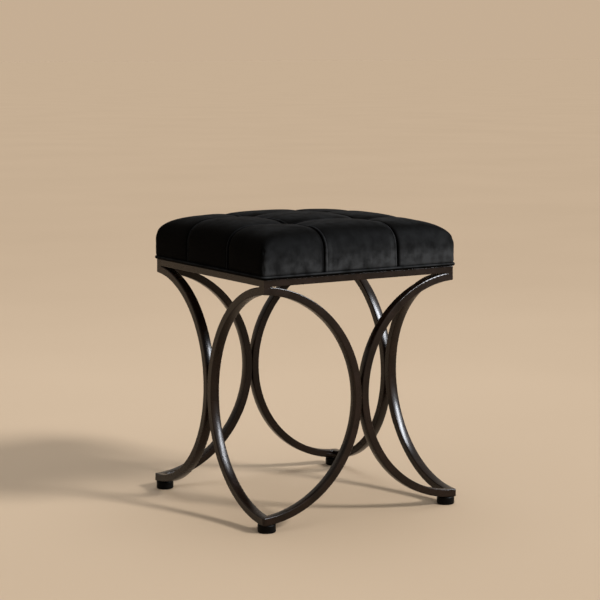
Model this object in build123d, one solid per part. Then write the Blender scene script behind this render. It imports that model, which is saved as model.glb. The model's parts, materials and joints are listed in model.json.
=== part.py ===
from build123d import *
import os
from math import atan2, cos, degrees, hypot, radians, sin, sqrt

# Square accent stool: a tufted velvet seat on a welded frame of paired circular arcs.
# Millimetres, +Z up. The origin is on the floor, under the middle of the seat.

# Frame of rectangular tube
FRAME_SIDE = 370.0          # apron, over its outer faces
FRAME_HEIGHT = 411.5        # floor to the apron's top face
RAIL_HEIGHT = 12.0          # apron's tube, upright
ARC_THICKNESS = 13.0        # arcs' tube, across the bend
TUBE_DEPTH = 16.5           # both tubes, from the outer to the inner face
TUBE_WALL = 1.5
TUBE_EDGE_RADIUS = 1.5
FOOT_SPLAY = 7.5            # each foot corner stands this far outside the apron's corner
ARC_GAP = 0.6               # between the two arcs of a side, where they pass closest
ARC_SEAT = 0.6              # ground off an arc where it lies on the apron and over the glide
ARC_END = 12.0              # length left on an arc beyond its corner, before the mitre is cut
FOOT_SLUG = 28.0            # solid end of an arc, so that the foot corner can be ground round
FOOT_CORNER_RADIUS = 5.0
FOOT_GRIND_LENGTH = 48.0    # length of the ground corner, along the leaning edge
BEAD_HEIGHT = 9.0           # weld bead that bridges the gap between two arcs
BEAD_DEPTH = 6.0
BEAD_INSET = 1.5
BEAD_BITE = 0.5             # how far the bead reaches round the arcs on each side

# Levelling glides and what they screw into
GLIDE_DIAMETER = 30.0
GLIDE_HEIGHT = 13.5
GLIDE_FOOT_RADIUS = 2.2
GLIDE_SHOULDER_RADIUS = 1.4
GLIDE_CLEARANCE = 0.3       # between the pad and the foot corner, with the glide screwed home
GLIDE_INSET = 14.1          # stud axis from the two outer faces of the foot corner
GLIDE_TRAVEL = 8.0
STUD_DIAMETER = 5.0
STUD_ROOT = 5.0             # length of the stud moulded into the pad
STUD_CHAMFER = 0.6
THREAD_CLEARANCE = 0.05     # on the radius
THREAD_HOLD = 3.0           # length of the stud still held with the glide right down
INSERT_DIAMETER = 6.6       # threaded insert set into the solid foot corner
INSERT_CLEARANCE = 0.05     # round the insert and over its end
FOOT_PLATE_THICKNESS = 4.0
FOOT_PLATE_LEG = 16.0
FOOT_PLATE_RISE = 4.0       # gusset over the underside of the arcs, so that it is out of sight

# Seat fixings
TAB_THICKNESS = 3.0
TAB_LEG = 46.0
SCREW_INSET = 16.0          # seat screw from the inner faces of the apron
SCREW_DIAMETER = 6.0
SCREW_HOLE = 7.0
SCREW_REACH = 10.0          # above the tab
SCREW_HEAD_DIAMETER = 12.0
SCREW_HEAD_HEIGHT = 3.6
SCREW_SOCKET = 4.0
SCREW_SOCKET_DEPTH = 2.0
WASHER_DIAMETER = 15.0
WASHER_THICKNESS = 1.2
TEE_NUT_FLANGE = 19.0
TEE_NUT_FLANGE_THICKNESS = 1.5
TEE_NUT_BARREL = 8.0
TEE_NUT_LENGTH = 10.0

# Seat, heights from the apron's top face
BOARD_THICKNESS = 12.0
BOARD_CORNER_RADIUS = 8.0
FOAM_HEIGHT = 34.0
FOAM_CORNER_RADIUS = 12.0
SIDE_HEIGHT = 34.0          # where the cover's upright sides turn into the shoulders
CROWN_HEIGHT = 85.5         # top of the seat, in its middle
CROWN_FALL = 4.0            # the top falls this much from the middle to the shoulders
CROWN_HALF = 118.6          # half width of the seat's top, between the shoulders
COVER_OVERHANG = 3.4        # cover's side outside the apron's outer face
COVER_THICKNESS = 4.5       # velvet and its wadding beside the board
COVER_BEHIND_FOAM = 4.0     # further wadding between the side channels and the foam
DRAW_IN = 1.0               # the middle of each side is pulled in by this much
CUSHION_CORNER_RADIUS = 7.0
ROUNDING_GROWTH = 100.0     # growth of the corner radius from the sides to the seat's top
ROUNDING_LIMIT = 0.9        # largest corner radius, as a share of the half width there
SHOULDER_POWER = 2.5        # squareness of the shoulders
SHOULDER_STEPS = 7
CROWN_SHARES = (0.7, 0.4, 0.15)  # rings of the seat's top, as shares of its half width
SEAM_SPACING = 142.0        # between the two seams that cross the seat each way
SEAM_GAP = 2.0
SEAM_DEPTH = 2.5            # on the sides
SEAM_SINK = 6.5             # on the top
SEAM_FLARE = 16.0           # half width of a seam's open lips, over the crown
SEAM_FLARE_FALL = 7.0       # the lips start to open this far under the crown
SEAM_FLARE_RISE = 1.5       # and are fully open this far over it
TUFT_DEPTH = 17.5           # bottom of a tuft, under the crown
TUFT_RISE = 4.5             # top of the cone that a tuft is sunk with, over the crown
TUFT_FLOOR_RADIUS = 3.0
TUFT_RADIUS = 53.0          # at the top of the cone
WELT_DIAMETER = 6.0
WELT_OVERHANG = 5.0
WELT_CORNER_RADIUS = 6.0    # of its centre line
TIE_DIAMETER = 2.5
TIE_HOLE = 3.2
TIE_WASHER_DIAMETER = 16.0
TIE_WASHER_THICKNESS = 1.5
DUST_COVER_THICKNESS = 0.6
DUST_COVER_MARGIN = 1.5
STAPLE_CROWN = 10.0
STAPLE_WIRE = 0.7
STAPLE_LEG = 6.0
STAPLE_EDGE = 7.0           # from the edge of the dust cover
STAPLES_PER_SIDE = 5
STAPLE_SPACING = 48.0

SIDES = ("front", "right", "back", "left")
CORNERS = ("front_left", "front_right", "back_right", "back_left")

# Worked out from the sizes above
APRON_HALF = FRAME_SIDE / 2
APRON_INNER = APRON_HALF - TUBE_DEPTH
ARC_TOP = FRAME_HEIGHT - RAIL_HEIGHT
ARC_BOTTOM = GLIDE_HEIGHT + GLIDE_CLEARANCE
ARC_RISE = ARC_TOP - ARC_BOTTOM
FOOT_HALF = APRON_HALF + FOOT_SPLAY
LEAN = atan2(FOOT_SPLAY, ARC_RISE)
GLIDE_AXIS = FOOT_HALF - GLIDE_INSET
INSERT_TOP = ARC_BOTTOM + GLIDE_TRAVEL + THREAD_HOLD
SCREW_AXIS = APRON_INNER - SCREW_INSET
TAB_BOTTOM = FRAME_HEIGHT - TAB_THICKNESS
COVER_HALF = APRON_HALF + COVER_OVERHANG
BOARD_HALF = COVER_HALF - COVER_THICKNESS
FOAM_HALF = BOARD_HALF - COVER_BEHIND_FOAM
BOARD_TOP = FRAME_HEIGHT + BOARD_THICKNESS
FOAM_TOP = BOARD_TOP + FOAM_HEIGHT
COVER_BOTTOM = FRAME_HEIGHT + WELT_DIAMETER
SHOULDER_START = FRAME_HEIGHT + SIDE_HEIGHT
CROWN_TOP = FRAME_HEIGHT + CROWN_HEIGHT
SEAM = SEAM_SPACING / 2
DUST_COVER_HALF = APRON_INNER - DUST_COVER_MARGIN

# The outer face of the front side leans with the legs. Its local Y runs up the slope.
FRONT_FACE = Plane(
    origin=(0, -APRON_HALF, ARC_TOP), x_dir=(1, 0, 0), z_dir=(0, -cos(LEAN), sin(LEAN))
)
LEFT_FACE = Plane(
    origin=(-APRON_HALF, 0, ARC_TOP), x_dir=(0, -1, 0), z_dir=(-cos(LEAN), 0, sin(LEAN))
)
MITRE = Plane(origin=(0, 0, 0), x_dir=(0, 0, 1), z_dir=(1, -1, 0))


def save(name, shape):
    """Write one node, as one solid or as a group of separate solids."""
    export_step(shape, os.path.join("parts", name + ".step"))


def turned(shape, quarter):
    """Turn a shape about the stool's middle by quarter turns, from the front towards the right."""
    return Rot(0, 0, 90 * quarter) * shape


def at_corners(shape):
    """Repeat a shape of the front left corner at all four corners, as one group."""
    return Compound(children=[turned(shape, quarter) for quarter in range(4)])


def between(shape, low, high):
    """Keep the part of a shape between two heights."""
    shape = split(shape, bisect_by=Plane.XY.offset(high), keep=Keep.BOTTOM)
    return split(shape, bisect_by=Plane.XY.offset(low), keep=Keep.TOP)


def upright(diameter, low, high):
    """Round bar standing on the Z axis between two heights."""
    bar = Cylinder(diameter / 2, high - low, align=(Align.CENTER, Align.CENTER, Align.MIN))
    return Pos(0, 0, low) * bar


def slab(half, corner_radius, low, high):
    """Square slab with rounded upright corners between two heights."""
    return Pos(0, 0, low) * extrude(RectangleRounded(2 * half, 2 * half, corner_radius), high - low)


def apron_rail():
    """Front rail of the apron: rectangular tube with mitred ends."""
    section = RectangleRounded(TUBE_DEPTH, RAIL_HEIGHT, TUBE_EDGE_RADIUS)
    section -= Rectangle(TUBE_DEPTH - 2 * TUBE_WALL, RAIL_HEIGHT - 2 * TUBE_WALL)
    rail = extrude(Plane.YZ * section, APRON_HALF, both=True)
    rail = Pos(0, -APRON_HALF + TUBE_DEPTH / 2, FRAME_HEIGHT - RAIL_HEIGHT / 2) * rail
    rail = split(rail, bisect_by=MITRE, keep=Keep.TOP)
    return split(rail, bisect_by=Plane(origin=(0, 0, 0), z_dir=(-1, -1, 0)), keep=Keep.TOP)


def circle_through(first, second, third):
    """Centre and radius of the circle through three points of a plane."""
    (ax, ay), (bx, by), (cx, cy) = first, second, third
    turn = 2 * (ax * (by - cy) + bx * (cy - ay) + cx * (ay - by))
    a, b, c = ax * ax + ay * ay, bx * bx + by * by, cx * cx + cy * cy
    x = (a * (by - cy) + b * (cy - ay) + c * (ay - by)) / turn
    y = (a * (cx - bx) + b * (ax - cx) + c * (bx - ax)) / turn
    return (x, y), hypot(ax - x, ay - y)


def arc_bar(centre, radius, start, end, section):
    """Bar of the front side bent about a centre, from one angle down to another."""
    spot = FRONT_FACE.location * Pos(*centre) * Rot(0, 0, start)
    profile = spot * Plane.XZ.location * Pos(radius - ARC_THICKNESS / 2, -TUBE_DEPTH / 2) * section
    axis = Axis((FRONT_FACE.location * Pos(*centre)).position, -FRONT_FACE.z_dir)
    return revolve(profile, axis, start - end)


def foot_rounding():
    """What is ground off the front left foot corner to round it."""
    inset = FOOT_HALF - FOOT_CORNER_RADIUS / cos(LEAN)
    lean_axis = Plane(
        origin=(-inset, -inset, ARC_BOTTOM), x_dir=(1, 0, 0), z_dir=(FOOT_SPLAY, FOOT_SPLAY, ARC_RISE)
    )
    reach = 2 * FOOT_CORNER_RADIUS
    block = Box(reach, reach, FOOT_GRIND_LENGTH, align=(Align.MAX, Align.MAX, Align.CENTER))
    return lean_axis * (block - Cylinder(FOOT_CORNER_RADIUS, FOOT_GRIND_LENGTH))


def insert_hole():
    """What is drilled out of the front left foot corner for the threaded insert."""
    hole = upright(INSERT_DIAMETER + 2 * INSERT_CLEARANCE, ARC_BOTTOM, INSERT_TOP + INSERT_CLEARANCE)
    return Pos(-GLIDE_AXIS, -GLIDE_AXIS) * hole


def leg_arc():
    """Front side's arc at the front left corner, hollow down to the slug in its foot."""
    slope = ARC_RISE / cos(LEAN)
    top = (-APRON_HALF, 0)
    foot = (-FOOT_HALF, -slope)
    waist = (-ARC_GAP / 2 - ARC_SEAT, -slope / 2)
    centre, radius = circle_through(top, waist, foot)
    radius += ARC_SEAT
    spare = degrees(ARC_END / radius)
    start = degrees(atan2(top[1] - centre[1], top[0] - centre[0])) + spare
    end = degrees(atan2(foot[1] - centre[1], foot[0] - centre[0])) - spare
    if end > 0:
        end -= 360
    section = RectangleRounded(ARC_THICKNESS, TUBE_DEPTH, TUBE_EDGE_RADIUS)
    bar = arc_bar(centre, radius, start, end, section)
    bore = Rectangle(ARC_THICKNESS - 2 * TUBE_WALL, TUBE_DEPTH - 2 * TUBE_WALL)
    hollow_end = end + spare + degrees(FOOT_SLUG / radius)
    bar -= arc_bar(centre, radius, start, hollow_end, bore)
    bar = between(bar, ARC_BOTTOM, ARC_TOP)
    bar = split(bar, bisect_by=MITRE, keep=Keep.TOP)
    return bar - foot_rounding() - insert_hole()


def weld_bead(left_arc, right_arc):
    """Bead that bridges the two arcs of the front side at the waist."""
    middle = -ARC_RISE / cos(LEAN) / 2
    bead = Box(ARC_GAP + 2 * BEAD_BITE, BEAD_HEIGHT, BEAD_DEPTH)
    bead = FRONT_FACE * Pos(0, middle, -BEAD_INSET - BEAD_DEPTH / 2) * bead
    return bead - left_arc - right_arc


def foot_plate():
    """Gusset welded into the front left foot corner, between the two arcs."""
    leg = FOOT_PLATE_LEG + 2 * TUBE_DEPTH
    outline = Polygon((0, 0), (leg, 0), (0, leg), align=None)
    plate = extrude(outline, FOOT_PLATE_THICKNESS)
    plate = Pos(-FOOT_HALF, -FOOT_HALF, ARC_BOTTOM + FOOT_PLATE_RISE) * plate
    plate = split(plate, bisect_by=FRONT_FACE.offset(-TUBE_DEPTH), keep=Keep.BOTTOM)
    plate = split(plate, bisect_by=LEFT_FACE.offset(-TUBE_DEPTH), keep=Keep.BOTTOM)
    return plate - insert_hole()


def thread_insert():
    """Threaded bush in the front left foot corner, which takes the glide's stud."""
    bush = upright(INSERT_DIAMETER, ARC_BOTTOM, INSERT_TOP)
    bush -= upright(STUD_DIAMETER + 2 * THREAD_CLEARANCE, ARC_BOTTOM, INSERT_TOP)
    return Pos(-GLIDE_AXIS, -GLIDE_AXIS) * bush


def glide_pad():
    """Round foot of a levelling glide, with the socket that its stud is moulded into."""
    pad = upright(GLIDE_DIAMETER, 0, GLIDE_HEIGHT)
    pad = fillet(pad.edges().group_by(Axis.Z)[0], GLIDE_FOOT_RADIUS)
    pad = fillet(pad.edges().group_by(Axis.Z)[-1], GLIDE_SHOULDER_RADIUS)
    pad -= upright(STUD_DIAMETER, GLIDE_HEIGHT - STUD_ROOT, GLIDE_HEIGHT)
    return Pos(-GLIDE_AXIS, -GLIDE_AXIS) * pad


def glide_stud():
    """Threaded stud of a levelling glide, longer in its insert than the glide's travel."""
    stud = upright(STUD_DIAMETER, GLIDE_HEIGHT - STUD_ROOT, INSERT_TOP)
    stud = chamfer(stud.edges().group_by(Axis.Z)[-1], STUD_CHAMFER)
    return Pos(-GLIDE_AXIS, -GLIDE_AXIS) * stud


def corner_tab():
    """Plate in the front left corner of the apron, which takes a seat screw."""
    outline = Polygon((0, 0), (TAB_LEG, 0), (0, TAB_LEG), align=None)
    tab = Pos(-APRON_INNER, -APRON_INNER, TAB_BOTTOM) * extrude(outline, TAB_THICKNESS)
    return tab - Pos(-SCREW_AXIS, -SCREW_AXIS) * upright(SCREW_HOLE, TAB_BOTTOM, FRAME_HEIGHT)


def seat_screw():
    """Socket screw from under a corner tab up into its tee nut."""
    head_top = TAB_BOTTOM - WASHER_THICKNESS
    head_bottom = head_top - SCREW_HEAD_HEIGHT
    screw = upright(SCREW_HEAD_DIAMETER, head_bottom, head_top)
    screw += upright(SCREW_DIAMETER, head_top, FRAME_HEIGHT + SCREW_REACH)
    socket = extrude(RegularPolygon(SCREW_SOCKET / 2, 6, major_radius=False), SCREW_SOCKET_DEPTH)
    screw -= Pos(0, 0, head_bottom) * socket
    return Pos(-SCREW_AXIS, -SCREW_AXIS) * screw


def seat_washer():
    """Plain washer under a corner tab."""
    low = TAB_BOTTOM - WASHER_THICKNESS
    washer = upright(WASHER_DIAMETER, low, TAB_BOTTOM) - upright(SCREW_HOLE, low, TAB_BOTTOM)
    return Pos(-SCREW_AXIS, -SCREW_AXIS) * washer


def tee_nut_outline(bore):
    """Tee nut let into the top of the seat board, on the Z axis."""
    flange_low = BOARD_TOP - TEE_NUT_FLANGE_THICKNESS
    nut = upright(TEE_NUT_FLANGE, flange_low, BOARD_TOP)
    nut += upright(TEE_NUT_BARREL, BOARD_TOP - TEE_NUT_LENGTH, flange_low)
    return nut - upright(bore, FRAME_HEIGHT, BOARD_TOP) if bore else nut


def tee_nut():
    """Tee nut of the front left seat screw."""
    nut = tee_nut_outline(SCREW_DIAMETER + 2 * THREAD_CLEARANCE)
    return Pos(-SCREW_AXIS, -SCREW_AXIS) * nut


def seat_board():
    """Plywood board that carries the upholstery, with its holes."""
    board = slab(BOARD_HALF, BOARD_CORNER_RADIUS, FRAME_HEIGHT, BOARD_TOP)
    fixing = tee_nut_outline(None) + upright(TEE_NUT_BARREL, FRAME_HEIGHT, BOARD_TOP)
    tie = upright(TIE_HOLE, FRAME_HEIGHT, BOARD_TOP)
    tie += upright(TIE_WASHER_DIAMETER, FRAME_HEIGHT, FRAME_HEIGHT + TIE_WASHER_THICKNESS)
    for quarter in range(4):
        board -= turned(Pos(-SCREW_AXIS, -SCREW_AXIS) * fixing, quarter)
        board -= turned(Pos(-SEAM, -SEAM) * tie, quarter)
    return board


def seat_foam():
    """Foam core on the board, pierced for the tuft ties."""
    foam = slab(FOAM_HALF, FOAM_CORNER_RADIUS, BOARD_TOP, FOAM_TOP)
    for quarter in range(4):
        foam -= turned(Pos(-SEAM, -SEAM) * upright(TIE_HOLE, BOARD_TOP, FOAM_TOP), quarter)
    return foam


def tuft_tie():
    """Twine that pulls one tuft of the cover down to its washer under the board."""
    return Pos(-SEAM, -SEAM) * upright(TIE_DIAMETER, FRAME_HEIGHT, FOAM_TOP)


def tuft_washer():
    """Washer in the underside of the board that a tuft tie is knotted through."""
    top = FRAME_HEIGHT + TIE_WASHER_THICKNESS
    washer = upright(TIE_WASHER_DIAMETER, FRAME_HEIGHT, top) - upright(TIE_DIAMETER, FRAME_HEIGHT, top)
    return Pos(-SEAM, -SEAM) * washer


def cushion_ring(half, radius, height):
    """Rounded square section of the cushion, with its sides drawn in between the corners."""
    bow = radius * (1 - sqrt(0.5))
    side = ThreePointArc((radius - half, -half), (0, DRAW_IN - half), (half - radius, -half))
    corner = ThreePointArc((half - radius, -half), (half - bow, bow - half), (half, radius - half))
    edges = [turned(edge, quarter) for quarter in range(4) for edge in (side, corner)]
    return Pos(0, 0, height) * make_face(edges)


def corner_radius(half, left):
    """Corner radius of a ring of the cushion, with the share of the shoulder that is left."""
    return min(CUSHION_CORNER_RADIUS + ROUNDING_GROWTH * (1 - left), ROUNDING_LIMIT * half)


def crowned_block(inset, sink):
    """Cushion without its seams: upright below, then soft shoulders, then a low dome.

    inset brings its sides in by that much, and sink its top down.
    """
    rings = []
    top_half = CROWN_HALF - inset
    shoulder_rise = CROWN_HEIGHT - CROWN_FALL - SIDE_HEIGHT - sink
    for step in range(SHOULDER_STEPS + 1):
        angle = radians(90 * step / SHOULDER_STEPS)
        left = abs(cos(angle)) ** (2 / SHOULDER_POWER)
        half = top_half + (COVER_HALF - CROWN_HALF) * left
        height = SHOULDER_START + shoulder_rise * sin(angle) ** (2 / SHOULDER_POWER)
        rings.append(cushion_ring(half, corner_radius(half, left), height))
    for share in CROWN_SHARES:
        height = CROWN_TOP - sink - CROWN_FALL * share ** 2
        rings.append(cushion_ring(top_half * share, corner_radius(top_half, 0) * share, height))
    upright_part = extrude(rings[0], SHOULDER_START - COVER_BOTTOM, dir=(0, 0, -1))
    return upright_part + loft(rings)


def seam_cutter():
    """Cutter for the seam left of the middle: a narrow slot whose lips open over the top."""
    half_gap = SEAM_GAP / 2
    lip, brim = CROWN_TOP - SEAM_FLARE_FALL, CROWN_TOP + SEAM_FLARE_RISE
    points = [(-half_gap, COVER_BOTTOM), (half_gap, COVER_BOTTOM), (half_gap, lip), (SEAM_FLARE, brim)]
    points += [(-SEAM_FLARE, brim), (-half_gap, lip)]
    profile = Plane.XZ * Polygon(*points, align=None)
    return Pos(-SEAM, 0, 0) * extrude(profile, COVER_HALF + COVER_OVERHANG, both=True)


def tuft_cutter():
    """Cone that sinks the tuft of the front left crossing."""
    cone = Cone(
        TUFT_FLOOR_RADIUS, TUFT_RADIUS, TUFT_DEPTH + TUFT_RISE, align=(Align.CENTER, Align.CENTER, Align.MIN)
    )
    return Pos(-SEAM, -SEAM, CROWN_TOP - TUFT_DEPTH) * cone


def seat_cover():
    """Tufted cover with its wadding, in nine biscuits, open at the foot for the board and the foam."""
    groove = seam_cutter() - crowned_block(SEAM_DEPTH, SEAM_SINK)
    cutters = [turned(each, quarter) for quarter in range(4) for each in (groove, tuft_cutter())]
    cutters.append(slab(BOARD_HALF, BOARD_CORNER_RADIUS, COVER_BOTTOM, BOARD_TOP))
    cutters.append(slab(FOAM_HALF, FOAM_CORNER_RADIUS, BOARD_TOP, FOAM_TOP))
    return crowned_block(0, 0) - cutters


def seat_welt():
    """Piping cord round the foot of the cover, lying on the apron."""
    half = APRON_HALF + WELT_OVERHANG - WELT_DIAMETER / 2
    path = RectangleRounded(2 * half, 2 * half, WELT_CORNER_RADIUS).wire()
    path = Pos(0, 0, FRAME_HEIGHT + WELT_DIAMETER / 2) * path
    start = Plane(origin=path @ 0, z_dir=path % 0)
    return sweep(start * Circle(WELT_DIAMETER / 2), path=path)


def dust_cover():
    """Black cloth under the board, inside the apron, cut off at the corner tabs."""
    half = DUST_COVER_HALF
    cut = TAB_LEG
    points = []
    for quarter in range(4):
        for x, y in ((-half + cut, -half), (half - cut, -half)):
            turn = radians(90 * quarter)
            points.append((x * cos(turn) - y * sin(turn), x * sin(turn) + y * cos(turn)))
    cloth = extrude(Polygon(*points, align=None), DUST_COVER_THICKNESS)
    return Pos(0, 0, FRAME_HEIGHT - DUST_COVER_THICKNESS) * cloth


def staple():
    """One staple under the front edge of the dust cover, driven into the board."""
    crown_top = FRAME_HEIGHT - DUST_COVER_THICKNESS
    wire = Box(STAPLE_CROWN, STAPLE_WIRE, STAPLE_WIRE, align=(Align.CENTER, Align.CENTER, Align.MAX))
    leg = Box(STAPLE_WIRE, STAPLE_WIRE, STAPLE_LEG, align=(Align.CENTER, Align.CENTER, Align.MIN))
    wire += Pos((STAPLE_WIRE - STAPLE_CROWN) / 2, 0, 0) * leg
    wire += Pos((STAPLE_CROWN - STAPLE_WIRE) / 2, 0, 0) * leg
    return Pos(0, -DUST_COVER_HALF + STAPLE_EDGE, crown_top) * wire


def staples():
    """All staples of the dust cover, as one group."""
    one = staple()
    row = []
    for k in range(STAPLES_PER_SIDE):
        row.append(Pos((k - (STAPLES_PER_SIDE - 1) / 2) * STAPLE_SPACING, 0, 0) * one)
    return Compound(children=[turned(each, quarter) for quarter in range(4) for each in row])


def main():
    """Build every piece and write it."""
    os.makedirs("parts", exist_ok=True)
    rail = apron_rail()
    left_arc = leg_arc()
    right_arc = mirror(left_arc, Plane.YZ)
    bead = weld_bead(left_arc, right_arc)
    for quarter, side in enumerate(SIDES):
        save("apron_rail_" + side, turned(rail, quarter))
        save("waist_bead_" + side, turned(bead, quarter))
        save("leg_arc_" + CORNERS[quarter] + "_on_" + side, turned(left_arc, quarter))
        save("leg_arc_" + CORNERS[(quarter + 1) % 4] + "_on_" + side, turned(right_arc, quarter))
    plate, tab, pad, stud = foot_plate(), corner_tab(), glide_pad(), glide_stud()
    for quarter, corner in enumerate(CORNERS):
        save("foot_plate_" + corner, turned(plate, quarter))
        save("corner_tab_" + corner, turned(tab, quarter))
        save("glide_pad_" + corner, turned(pad, quarter))
        save("glide_stud_" + corner, turned(stud, quarter))
    save("thread_inserts", at_corners(thread_insert()))
    save("seat_screws", at_corners(seat_screw()))
    save("seat_washers", at_corners(seat_washer()))
    save("tee_nuts", at_corners(tee_nut()))
    save("seat_board", seat_board())
    save("seat_foam", seat_foam())
    save("seat_cover", seat_cover())
    save("seat_welt", seat_welt())
    save("tuft_ties", at_corners(tuft_tie()))
    save("tuft_washers", at_corners(tuft_washer()))
    save("dust_cover", dust_cover())
    save("dust_cover_staples", staples())


main()
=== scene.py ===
import sys
import itertools
import json
import logging
import math
from contextlib import contextmanager
from dataclasses import dataclass
from enum import Enum
from typing import Callable, Iterator, Mapping, Optional, Sequence, Union

import bpy
import numpy as np
from mathutils import Matrix, Vector


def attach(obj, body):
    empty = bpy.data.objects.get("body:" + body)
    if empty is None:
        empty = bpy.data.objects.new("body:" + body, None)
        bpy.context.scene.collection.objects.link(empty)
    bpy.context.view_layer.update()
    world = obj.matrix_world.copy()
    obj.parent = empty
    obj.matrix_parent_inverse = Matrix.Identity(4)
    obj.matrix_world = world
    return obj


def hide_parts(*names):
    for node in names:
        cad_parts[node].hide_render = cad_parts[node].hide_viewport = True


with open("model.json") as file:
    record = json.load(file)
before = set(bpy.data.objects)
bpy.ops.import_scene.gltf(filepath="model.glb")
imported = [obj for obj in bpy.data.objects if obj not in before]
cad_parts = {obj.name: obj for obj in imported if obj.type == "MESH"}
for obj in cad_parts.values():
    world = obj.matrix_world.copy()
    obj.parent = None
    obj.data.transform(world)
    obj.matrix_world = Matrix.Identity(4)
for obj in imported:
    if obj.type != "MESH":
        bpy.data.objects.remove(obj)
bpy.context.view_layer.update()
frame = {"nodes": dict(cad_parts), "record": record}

LOG = logging.getLogger("accent_stool")
MM = 0.001
BODY = "stool"
# name of the mesh attribute that holds the velvet's painted light and shade
PAINTED_LIGHT_ATTRIBUTE = "painted_light"

# Sizes that several pieces share, in millimetres
# The board's and the foam's tops are over the apron, and a vertex within NEAR of a line lies on it
APRON_TOP = 411.5
BOARD_HALF = 183.9
BOARD_TOP = 12.0
FOAM_HALF = 179.9
FOAM_TOP = 46.0
SEAM = 71.0
NEAR = 0.1

Piece = bpy.types.Object
Material = bpy.types.Material
Node = bpy.types.Node
Tree = bpy.types.NodeTree
Pair = tuple[float, float]
Triple = tuple[float, float, float]
Row = tuple[float, ...]


class Slot(Enum):
    """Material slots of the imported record."""

    FRAME = "frame_metal"
    ZINC = "zinc_steel"
    GLIDE = "glide_plastic"
    PLYWOOD = "plywood"
    FOAM = "foam"
    VELVET = "velvet"
    TWINE = "twine"
    DUST_CLOTH = "dust_cloth"


class FacingLight(Enum):
    """Sides of the cushion, and how much painted light each one's velvet gets: painted light on the front
    and right, painted shade on the back and left.
    """

    FRONT = 0.95
    RIGHT = 0.8
    BACK = 0.3
    LEFT = 0.02
    TOP = 0.36


class Across(Enum):
    """Plan axis that a seam is measured across."""

    X = 0
    Y = 1


# Small tools for meshes and nodes


def linear(hex_colour: str) -> tuple[float, float, float, float]:
    """Turn an sRGB colour into linear light.

    Args:
        hex_colour: Colour as #rrggbb.

    Returns:
        Linear red, green, blue and an alpha of one.
    """
    parts = [int(hex_colour[k:k + 2], 16) / 255 for k in (1, 3, 5)]
    red, green, blue = [p / 12.92 if p <= 0.04045 else ((p + 0.055) / 1.055) ** 2.4 for p in parts]
    return red, green, blue, 1.0


def add_node(
    tree: Tree, kind: str, settings: Optional[Mapping] = None, links: Optional[Mapping] = None
) -> Node:
    """Add one node with its settings and links.

    Args:
        tree: Node tree that gets the node.
        kind: Node type, without the leading ShaderNode.
        settings: Values by attribute name, or by input name or number.
        links: Source node and output, by input name or number.

    Returns:
        The new node.
    """
    node = tree.nodes.new("ShaderNode" + kind)
    for key, value in (settings or {}).items():
        if isinstance(key, str) and hasattr(node, key):
            setattr(node, key, value)
        else:
            node.inputs[key].default_value = value
    for key, (source, output) in (links or {}).items():
        tree.links.new(source.outputs[output], node.inputs[key])
    return node


def ramp(source: Sequence[float], target: Sequence[float]) -> dict[str, float]:
    """Return the settings that map one range of values to another."""
    return dict(zip(("From Min", "From Max", "To Min", "To Max"), (*source, *target)))


def rows_of(elements: bpy.types.bpy_prop_collection, value: str) -> np.ndarray:
    """Read a vector from each of a mesh's elements.

    Args:
        elements: Vertices, normals or values of an attribute.
        value: Name of the vector.

    Returns:
        Array of one row per element.
    """
    flat = np.zeros(len(elements) * 3)
    elements.foreach_get(value, flat)
    return flat.reshape(-1, 3)


def points_of(piece: Piece) -> np.ndarray:
    """Return a piece's vertices, one to a row, in metres."""
    return rows_of(piece.data.vertices, "co")


def normals_of(piece: Piece) -> np.ndarray:
    """Return the unit normals of a piece's vertices, one to a row."""
    return rows_of(piece.data.vertex_normals, "vector")


def set_points(piece: Piece, points: np.ndarray) -> None:
    """Write a piece's vertices, one to a row, in metres."""
    piece.data.vertices.foreach_set("co", np.ascontiguousarray(points, dtype=float).ravel())
    piece.data.update()


def set_painted_light(piece: Piece, painted_light: np.ndarray) -> None:
    """Store the painted light and shade at each vertex, which sets how pale the velvet is."""
    brushed = piece.data.attributes.new(PAINTED_LIGHT_ATTRIBUTE, "FLOAT", "POINT")
    brushed.data.foreach_set("value", painted_light.astype(np.float32))


def pick(piece: Piece) -> None:
    """Make a piece the only selected and active object.

    Args:
        piece: Object to pick.
    """
    bpy.ops.object.select_all(action="DESELECT")
    piece.select_set(True)
    bpy.context.view_layer.objects.active = piece


@contextmanager
def editing(piece: Piece, select_mode: str = "EDGE") -> Iterator[None]:
    """Work on a piece in edit mode, with nothing selected at the start.

    Args:
        piece: Mesh object to edit.
        select_mode: VERT, EDGE or FACE.

    Yields:
        Nothing.
    """
    pick(piece)
    bpy.ops.object.mode_set(mode="EDIT")
    bpy.ops.mesh.select_mode(type=select_mode)
    bpy.ops.mesh.select_all(action="DESELECT")
    yield
    bpy.ops.object.mode_set(mode="OBJECT")


def add_primitive(
    add: Callable[..., set[str]], name: str, scale: Triple = (1.0, 1.0, 1.0), **settings: object
) -> Piece:
    """Add a primitive with nothing else selected, and put its size and place into its mesh.

    Args:
        add: Operator that adds it.
        name: Name of the piece.
        scale: Stretch along X, Y and Z.
        settings: Values for the operator.

    Returns:
        The piece, at the origin.
    """
    bpy.ops.object.select_all(action="DESELECT")
    add(**settings)
    piece = bpy.context.active_object
    piece.name = piece.data.name = name
    piece.scale = scale
    bpy.ops.object.transform_apply(location=True, rotation=True, scale=True)
    return piece


def apply_modifier(piece: Piece, kind: str, **settings: object) -> None:
    """Add a modifier to a piece and apply it.

    Args:
        piece: Mesh object.
        kind: Modifier type.
        settings: Values by attribute name.
    """
    modifier = piece.modifiers.new(kind.title(), kind)
    for key, value in settings.items():
        setattr(modifier, key, value)
    pick(piece)
    bpy.ops.object.modifier_apply(modifier=modifier.name)


def select_boundary() -> None:
    """Select the open edges of the mesh that is being edited."""
    bpy.ops.mesh.select_non_manifold(
        extend=False, use_wire=False, use_boundary=True, use_multi_face=False, use_non_contiguous=False
    )


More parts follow.
